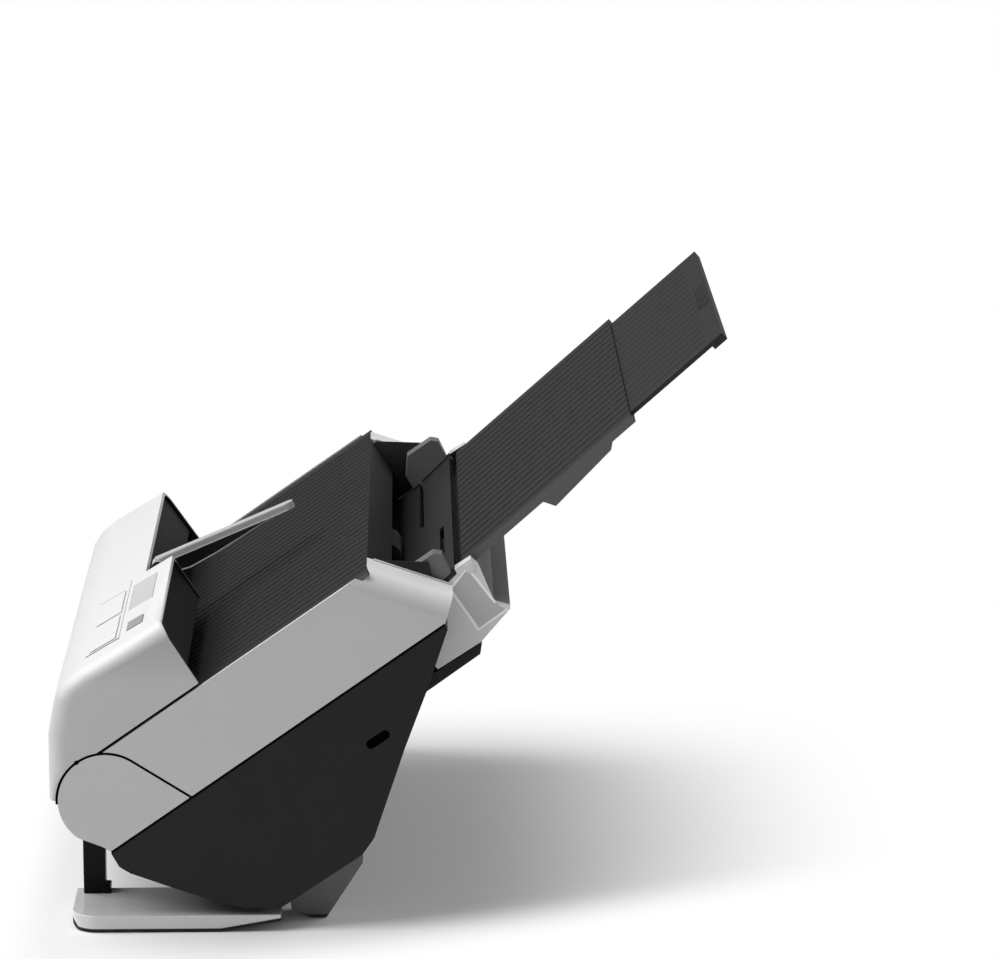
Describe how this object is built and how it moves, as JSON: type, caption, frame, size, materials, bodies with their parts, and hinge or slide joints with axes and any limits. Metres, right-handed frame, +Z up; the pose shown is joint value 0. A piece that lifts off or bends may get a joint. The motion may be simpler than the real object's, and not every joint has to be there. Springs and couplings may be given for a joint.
{
  "type": "document scanner",
  "caption": "Sheet-fed desktop document scanner with a sloped feed tray, opening upper unit, front cover with keys and a ribbed eject tray.",
  "frame": {"origin": "centre of the footprint box, on the surface the machine stands on", "axes": "+Y towards the rear and the feed tray, +Z up, +X to the operator's right"},
  "size_m": [0.3995, 0.4135, 0.3594],
  "materials": {
    "black_plastic": "fine satin grain",
    "tray_black": "satin, ribbed",
    "light_grey": "satin paint",
    "white_plastic": "fine satin",
    "housing_grey": "satin",
    "guide_grey": "satin",
    "inner_plastic": "satin",
    "foot_gloss": "polished",
    "post_black": "semi-gloss",
    "sole_rubber": "matte rubber",
    "roller_rubber": "ground rubber",
    "pinch_grey": "moulded",
    "steel": "plated sheet",
    "arm_silver": "translucent silver",
    "glass": "clear",
    "display": "grey display",
    "board_green": "solder mask"
  },
  "bodies": {
    "lower_unit": {"base_shell": "black_plastic", "right_side_cover": "black_plastic", "left_side_cover": "black_plastic", "right_hinge_cap": "light_grey", "left_hinge_cap": "light_grey", "right_chassis_plate": "steel", "left_chassis_plate": "steel", "chassis_stays": "steel", "hinge_pins": "steel", "shaft_bushes": "pinch_grey", "lower_guide": "inner_plastic", "lower_scan_unit": "inner_plastic", "lower_glass": "glass", "feed_bed": "tray_black", "rear_housing": "housing_grey", "scan_motor": "inner_plastic", "main_board": "board_green", "power_supply": "steel", "mains_inlet": "inner_plastic", "data_socket": "steel", "front_legs": "post_black", "foot_plates": "foot_gloss", "foot_soles": "sole_rubber", "rear_feet": "guide_grey", "drive_belts": "sole_rubber", "stay_screws": "steel"},
    "power_switch": {"power_switch": "inner_plastic"},
    "front_drive_roller": {"front_drive_roller": "roller_rubber"},
    "rear_drive_roller": {"rear_drive_roller": "roller_rubber"},
    "motor_pulley": {"motor_pulley": "steel"},
    "retard_roller": {"retard_roller": "roller_rubber"},
    "upper_unit": {"right_upper_cover": "light_grey", "left_upper_cover": "light_grey", "eject_tray": "tray_black", "upper_frame": "steel", "upper_guide": "inner_plastic", "upper_scan_unit": "inner_plastic", "upper_glass": "glass"},
    "turn_roller": {"turn_roller": "roller_rubber"},
    "front_pinch_roller": {"front_pinch_roller": "pinch_grey"},
    "rear_pinch_roller": {"rear_pinch_roller": "pinch_grey"},
    "feed_roller": {"feed_roller": "roller_rubber"},
    "pickup_arm": {"pickup_arm": "inner_plastic"},
    "pickup_roller": {"pickup_roller": "roller_rubber"},
    "release_button": {"release_button": "guide_grey"},
    "front_cover": {"front_cover": "white_plastic", "cover_rear_panel": "tray_black", "cover_guide": "tray_black", "panel_board": "board_green", "display_window": "display"},
    "eject_pinch_roller": {"eject_pinch_roller": "pinch_grey"},
    "start_key": {"start_key": "guide_grey"},
    "stop_key": {"stop_key": "white_plastic"},
    "menu_key": {"menu_key": "white_plastic"},
    "eject_guide": {"eject_guide": "arm_silver"},
    "feed_tray": {"feed_tray": "tray_black"},
    "tray_extension": {"tray_extension": "tray_black"},
    "right_paper_guide": {"right_paper_guide": "guide_grey"},
    "left_paper_guide": {"left_paper_guide": "guide_grey"},
    "guide_pinion": {"guide_pinion": "pinch_grey"}
  },
  "joints": [
    {"name": "upper_unit_open", "type": "hinge", "parent": "lower_unit", "child": "upper_unit", "pos_m": [0, -0.16965, 0.084], "axis": [1, 0, 0], "range_deg": [0, 45]},
    {"name": "front_cover_open", "type": "hinge", "parent": "upper_unit", "child": "front_cover", "pos_m": [0, -0.16965, 0.084], "axis": [1, 0, 0], "range_deg": [0, 15]},
    {"name": "eject_guide_swing", "type": "hinge", "parent": "front_cover", "child": "eject_guide", "pos_m": [0.018, -0.14533, 0.18526], "axis": [1, 0, 0], "range_deg": [0, 85]},
    {"name": "feed_tray_fold", "type": "hinge", "parent": "lower_unit", "child": "feed_tray", "pos_m": [0, 0.05203, 0.21896], "axis": [-1, 0, 0], "range_deg": [-118, 0]},
    {"name": "tray_extension_slide", "type": "slide", "parent": "feed_tray", "child": "tray_extension", "axis": [0, 0.7478, 0.6639], "range_m": [-0.06, 0]},
    {"name": "right_guide_slide", "type": "slide", "parent": "lower_unit", "child": "right_paper_guide", "axis": [-1, 0, 0], "range_m": [0, 0.105]},
    {"name": "left_guide_slide", "type": "slide", "parent": "lower_unit", "child": "left_paper_guide", "axis": [1, 0, 0], "range_m": [0, 0.105]},
    {"name": "guide_pinion_turn", "type": "hinge", "parent": "lower_unit", "child": "guide_pinion", "pos_m": [0, 0.03457, 0.1977], "axis": [0, -0.5736, 0.8192], "range_deg": [0, 860]},
    {"name": "pickup_arm_lift", "type": "hinge", "parent": "upper_unit", "child": "pickup_arm", "pos_m": [0, -0.01753, 0.17709], "axis": [1, 0, 0], "range_deg": [0, 6]},
    {"name": "front_drive_turn", "type": "hinge", "parent": "lower_unit", "child": "front_drive_roller", "pos_m": [0, -0.09928, 0.08811], "axis": [1, 0, 0], "continuous": true},
    {"name": "rear_drive_turn", "type": "hinge", "parent": "lower_unit", "child": "rear_drive_roller", "pos_m": [0, -0.05013, 0.12252], "axis": [1, 0, 0], "continuous": true},
    {"name": "motor_turn", "type": "hinge", "parent": "lower_unit", "child": "motor_pulley", "pos_m": [0, -0.06954, 0.04911], "axis": [1, 0, 0], "continuous": true},
    {"name": "turn_roller_turn", "type": "hinge", "parent": "upper_unit", "child": "turn_roller", "pos_m": [0, -0.16965, 0.084], "axis": [1, 0, 0], "continuous": true},
    {"name": "retard_roller_turn", "type": "hinge", "parent": "lower_unit", "child": "retard_roller", "pos_m": [0, -0.00417, 0.158], "axis": [1, 0, 0], "continuous": true},
    {"name": "front_pinch_turn", "type": "hinge", "parent": "upper_unit", "child": "front_pinch_roller", "pos_m": [0, -0.1092, 0.10228], "axis": [1, 0, 0], "continuous": true},
    {"name": "rear_pinch_turn", "type": "hinge", "parent": "upper_unit", "child": "rear_pinch_roller", "pos_m": [0, -0.06005, 0.13669], "axis": [1, 0, 0], "continuous": true},
    {"name": "feed_roller_turn", "type": "hinge", "parent": "upper_unit", "child": "feed_roller", "pos_m": [0, -0.01753, 0.17709], "axis": [1, 0, 0], "continuous": true},
    {"name": "pickup_roller_turn", "type": "hinge", "parent": "pickup_arm", "child": "pickup_roller", "pos_m": [0, 0.00131, 0.19028], "axis": [1, 0, 0], "continuous": true},
    {"name": "eject_pinch_turn", "type": "hinge", "parent": "front_cover", "child": "eject_pinch_roller", "pos_m": [0, -0.18271, 0.112], "axis": [1, 0, 0], "continuous": true},
    {"name": "start_key_press", "type": "slide", "parent": "front_cover", "child": "start_key", "axis": [0, 0.5167, -0.8562], "range_m": [0, 0.0008], "stiffness_N_per_m": 300},
    {"name": "stop_key_press", "type": "slide", "parent": "front_cover", "child": "stop_key", "axis": [0, 0.5167, -0.8562], "range_m": [0, 0.0008], "stiffness_N_per_m": 300},
    {"name": "menu_key_press", "type": "slide", "parent": "front_cover", "child": "menu_key", "axis": [0, 0.5167, -0.8562], "range_m": [0, 0.0008], "stiffness_N_per_m": 300},
    {"name": "release_button_press", "type": "slide", "parent": "upper_unit", "child": "release_button", "axis": [1, 0, 0], "range_m": [0, 0.0012], "stiffness_N_per_m": 400},
    {"name": "power_switch_rock", "type": "hinge", "parent": "lower_unit", "child": "power_switch", "pos_m": [-0.15, -0.00329, 0.08948], "axis": [1, 0, 0], "range_deg": [0, 12]}
  ],
  "couplings": [
    {"joint": "rear_drive_turn", "follows": "front_drive_turn", "ratio": 1},
    {"joint": "turn_roller_turn", "follows": "front_drive_turn", "ratio": 0.39062},
    {"joint": "motor_turn", "follows": "front_drive_turn", "ratio": 1.5},
    {"joint": "left_guide_slide", "follows": "right_guide_slide", "ratio": 1},
    {"joint": "guide_pinion_turn", "follows": "right_guide_slide", "rad_per_m": 142.86},
    {"joint": "pickup_roller_turn", "follows": "feed_roller_turn", "ratio": 1.3333}
  ]
}
